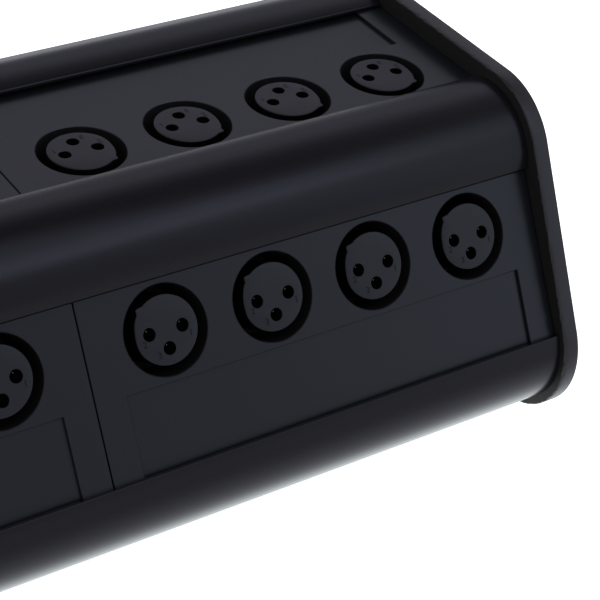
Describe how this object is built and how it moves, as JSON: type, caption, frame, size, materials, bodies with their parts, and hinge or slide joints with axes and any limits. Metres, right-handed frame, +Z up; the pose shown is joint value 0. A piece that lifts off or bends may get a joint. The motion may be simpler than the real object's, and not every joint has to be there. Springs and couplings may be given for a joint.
{
  "type": "stage box",
  "caption": "Low stage box with rows of female XLR sockets on a sloping front and a flat top, black end cheeks and a gland for the multicore cable.",
  "frame": {"origin": "on the surface that the feet stand on, under the middle of the whole box with its gland", "axes": "+X along the box, away from the gland's end; +Y from the sloping socket face to the plain back; +Z up"},
  "size_m": [0.2782, 0.1398, 0.0855],
  "materials": {
    "anodised_aluminium": "black anodised, satin",
    "socket_panel": "black moulded plastic, fine satin",
    "cheek_plate": "black plate with a sawn edge",
    "xlr_shell": "black moulded plastic, matt",
    "xlr_insert": "dark grey glass-filled nylon, satin",
    "contact_board": "green solder mask",
    "contact_metal": "gold-plated, bright",
    "black_screw": "black zinc",
    "gland_nylon": "black moulded nylon",
    "rubber": "black rubber, matt"
  },
  "bodies": {
    "root": {"ridge_rail": "anodised_aluminium", "base_profile": "anodised_aluminium", "end_cheek_left": "cheek_plate", "end_cheek_right": "cheek_plate", "front_panel_left": "socket_panel", "front_panel_right": "socket_panel", "top_panel_left": "socket_panel", "top_panel_right": "socket_panel", "contact_board_front_left": "contact_board", "contact_board_front_right": "contact_board", "contact_board_top_left": "contact_board", "contact_board_top_right": "contact_board", "xlr_shell_front_1": "xlr_shell", "xlr_shell_front_2": "xlr_shell", "xlr_shell_front_3": "xlr_shell", "xlr_shell_front_4": "xlr_shell", "xlr_shell_front_5": "xlr_shell", "xlr_shell_front_6": "xlr_shell", "xlr_shell_front_7": "xlr_shell", "xlr_shell_front_8": "xlr_shell", "xlr_shell_top_1": "xlr_shell", "xlr_shell_top_2": "xlr_shell", "xlr_shell_top_3": "xlr_shell", "xlr_shell_top_4": "xlr_shell", "xlr_shell_top_5": "xlr_shell", "xlr_shell_top_6": "xlr_shell", "xlr_shell_top_7": "xlr_shell", "xlr_shell_top_8": "xlr_shell", "xlr_insert_front_1": "xlr_insert", "xlr_insert_front_2": "xlr_insert", "xlr_insert_front_3": "xlr_insert", "xlr_insert_front_4": "xlr_insert", "xlr_insert_front_5": "xlr_insert", "xlr_insert_front_6": "xlr_insert", "xlr_insert_front_7": "xlr_insert", "xlr_insert_front_8": "xlr_insert", "xlr_insert_top_1": "xlr_insert", "xlr_insert_top_2": "xlr_insert", "xlr_insert_top_3": "xlr_insert", "xlr_insert_top_4": "xlr_insert", "xlr_insert_top_5": "xlr_insert", "xlr_insert_top_6": "xlr_insert", "xlr_insert_top_7": "xlr_insert", "xlr_insert_top_8": "xlr_insert", "cheek_screw_left_1": "black_screw", "cheek_screw_left_2": "black_screw", "cheek_screw_left_3": "black_screw", "cheek_screw_left_4": "black_screw", "cheek_screw_right_1": "black_screw", "cheek_screw_right_2": "black_screw", "cheek_screw_right_3": "black_screw", "cheek_screw_right_4": "black_screw", "cable_gland_body": "gland_nylon", "cable_gland_lock_nut": "gland_nylon", "cable_gland_dome_nut": "gland_nylon", "cable_gland_seal": "rubber", "foot_1": "rubber", "foot_2": "rubber", "foot_3": "rubber", "foot_4": "rubber"}
  },
  "joints": []
}
